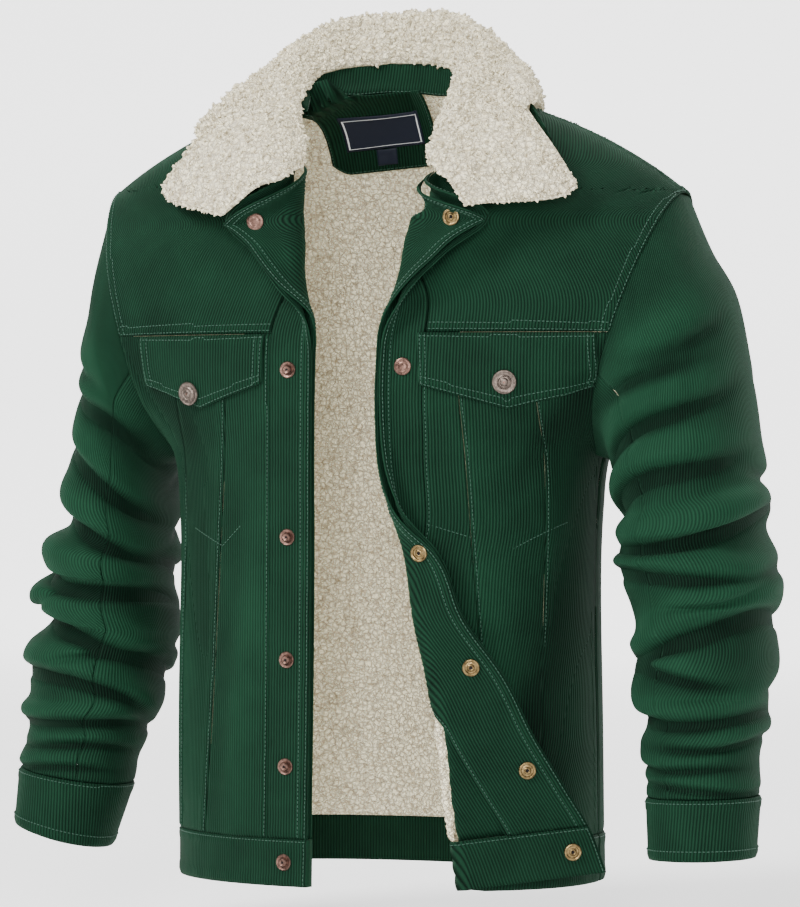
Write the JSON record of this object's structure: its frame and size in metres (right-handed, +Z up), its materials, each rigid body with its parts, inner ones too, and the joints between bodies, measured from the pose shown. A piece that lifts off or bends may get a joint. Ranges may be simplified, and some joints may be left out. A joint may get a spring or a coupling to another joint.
{
  "type": "sherpa lined jacket",
  "caption": "Corduroy trucker jacket lined and collared with sherpa pile, open at the front with its left edge turned back, snap fastened, hollow as worn.",
  "frame": {"origin": "between the shoulders at shoulder height, on the centre line, where the wearer holds the jacket up", "axes": "+X towards the wearer's left, -Y towards the front, +Z up"},
  "size_m": [0.67, 0.2676, 0.738],
  "materials": {
    "corduroy": "wide-wale cotton corduroy with a tonal sheen along the ribs",
    "sherpa_lining": "curly cream sherpa pile in small pebbled clumps",
    "sherpa_collar": "longer fluffy cream sherpa pile",
    "copper_metal": "antique copper plating, darker in the recesses",
    "label_cloth": "navy woven satin tape, left blank, with a thin light border"
  },
  "bodies": {
    "root": {"placket_R": "corduroy", "front_centre_R": "corduroy", "front_middle_R": "corduroy", "front_side_R": "corduroy", "front_yoke_R": "corduroy", "facing_R": "corduroy", "lining_front_R": "sherpa_lining", "band_front_R": "corduroy", "pocket_flap_R": "corduroy", "placket_L": "corduroy", "front_centre_L": "corduroy", "front_middle_L": "corduroy", "front_side_L": "corduroy", "front_yoke_L": "corduroy", "facing_L": "corduroy", "lining_front_L": "sherpa_lining", "band_front_L": "corduroy", "pocket_flap_L": "corduroy", "back_panel": "corduroy", "back_yoke": "corduroy", "lining_back": "sherpa_lining", "band_back": "corduroy", "neck_patch": "corduroy", "neck_label": "label_cloth", "size_tab": "label_cloth", "sleeve_upper_R": "corduroy", "sleeve_under_R": "corduroy", "cuff_R": "corduroy", "sleeve_upper_L": "corduroy", "sleeve_under_L": "corduroy", "cuff_L": "corduroy", "collar_upper": "sherpa_collar", "collar_under": "corduroy", "collar_stand": "corduroy", "snap_stud_1": "copper_metal", "snap_back_1": "copper_metal", "snap_socket_1": "copper_metal", "snap_cap_1": "copper_metal", "snap_stud_2": "copper_metal", "snap_back_2": "copper_metal", "snap_socket_2": "copper_metal", "snap_cap_2": "copper_metal", "snap_stud_3": "copper_metal", "snap_back_3": "copper_metal", "snap_socket_3": "copper_metal", "snap_cap_3": "copper_metal", "snap_stud_4": "copper_metal", "snap_back_4": "copper_metal", "snap_socket_4": "copper_metal", "snap_cap_4": "copper_metal", "snap_stud_5": "copper_metal", "snap_back_5": "copper_metal", "snap_socket_5": "copper_metal", "snap_cap_5": "copper_metal", "snap_stud_6": "copper_metal", "snap_back_6": "copper_metal", "snap_socket_6": "copper_metal", "snap_cap_6": "copper_metal", "pocket_button_R": "copper_metal", "pocket_button_L": "copper_metal"}
  },
  "joints": []
}
